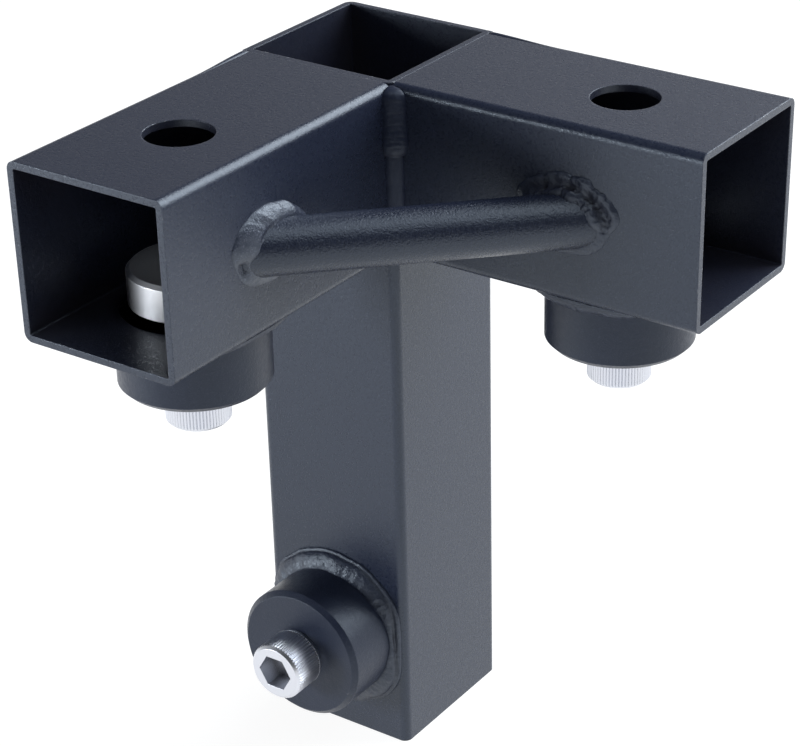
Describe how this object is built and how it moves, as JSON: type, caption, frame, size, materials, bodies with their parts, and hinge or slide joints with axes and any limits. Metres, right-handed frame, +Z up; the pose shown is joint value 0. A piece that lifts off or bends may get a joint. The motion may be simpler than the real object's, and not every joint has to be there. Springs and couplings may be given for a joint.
{
  "type": "square tube connector",
  "caption": "Three-way corner connector welded from square tubes, with a round brace between its arms and a screw-driven pressure disc that clamps the tube slid into each socket.",
  "frame": {"origin": "centre of the upright's open foot", "axes": "+Z up along the upright, +X along the right arm, -Y along the left arm"},
  "size_m": [0.145, 0.145, 0.215],
  "materials": {
    "powder_coat": "satin",
    "zinc_plate": "satin",
    "bright_steel": "satin"
  },
  "bodies": {
    "frame": {"upright_tube": "powder_coat", "left_arm_tube": "powder_coat", "right_arm_tube": "powder_coat", "brace_bar": "powder_coat", "left_arm_under_weld": "powder_coat", "right_arm_under_weld": "powder_coat", "left_arm_side_weld": "powder_coat", "right_arm_side_weld": "powder_coat", "inner_corner_weld": "powder_coat", "left_brace_weld": "powder_coat", "right_brace_weld": "powder_coat", "left_clamp_boss": "powder_coat", "left_boss_weld": "powder_coat", "right_clamp_boss": "powder_coat", "right_boss_weld": "powder_coat", "leg_clamp_boss": "powder_coat", "leg_boss_weld": "powder_coat"},
    "left_disc": {"left_clamp_disc": "bright_steel"},
    "left_screw": {"left_clamp_screw": "zinc_plate", "left_disc_retainer": "zinc_plate"},
    "right_disc": {"right_clamp_disc": "bright_steel"},
    "right_screw": {"right_clamp_screw": "zinc_plate", "right_disc_retainer": "zinc_plate"},
    "leg_disc": {"leg_clamp_disc": "bright_steel"},
    "leg_screw": {"leg_clamp_screw": "zinc_plate", "leg_disc_retainer": "zinc_plate"}
  },
  "joints": [
    {"name": "left_clamp_travel", "type": "slide", "parent": "frame", "child": "left_disc", "axis": [0, 0, -1], "range_m": [0, 0.012]},
    {"name": "left_screw_turn", "type": "hinge", "parent": "left_disc", "child": "left_screw", "pos_m": [0, -0.083, 0.145], "axis": [0, 0, -1], "range_deg": [0, 2468.6]},
    {"name": "right_clamp_travel", "type": "slide", "parent": "frame", "child": "right_disc", "axis": [0, 0, -1], "range_m": [0, 0.012]},
    {"name": "right_screw_turn", "type": "hinge", "parent": "right_disc", "child": "right_screw", "pos_m": [0.083, 0, 0.145], "axis": [0, 0, -1], "range_deg": [0, 2468.6]},
    {"name": "leg_clamp_travel", "type": "slide", "parent": "frame", "child": "leg_disc", "axis": [0, -1, 0], "range_m": [0, 0.012]},
    {"name": "leg_screw_turn", "type": "hinge", "parent": "leg_disc", "child": "leg_screw", "pos_m": [0, -0.045, 0.035], "axis": [0, -1, 0], "range_deg": [0, 2468.6]}
  ],
  "couplings": [
    {"joint": "left_screw_turn", "follows": "left_clamp_travel", "rad_per_m": 3590.4},
    {"joint": "right_screw_turn", "follows": "right_clamp_travel", "rad_per_m": 3590.4},
    {"joint": "leg_screw_turn", "follows": "leg_clamp_travel", "rad_per_m": 3590.4}
  ]
}
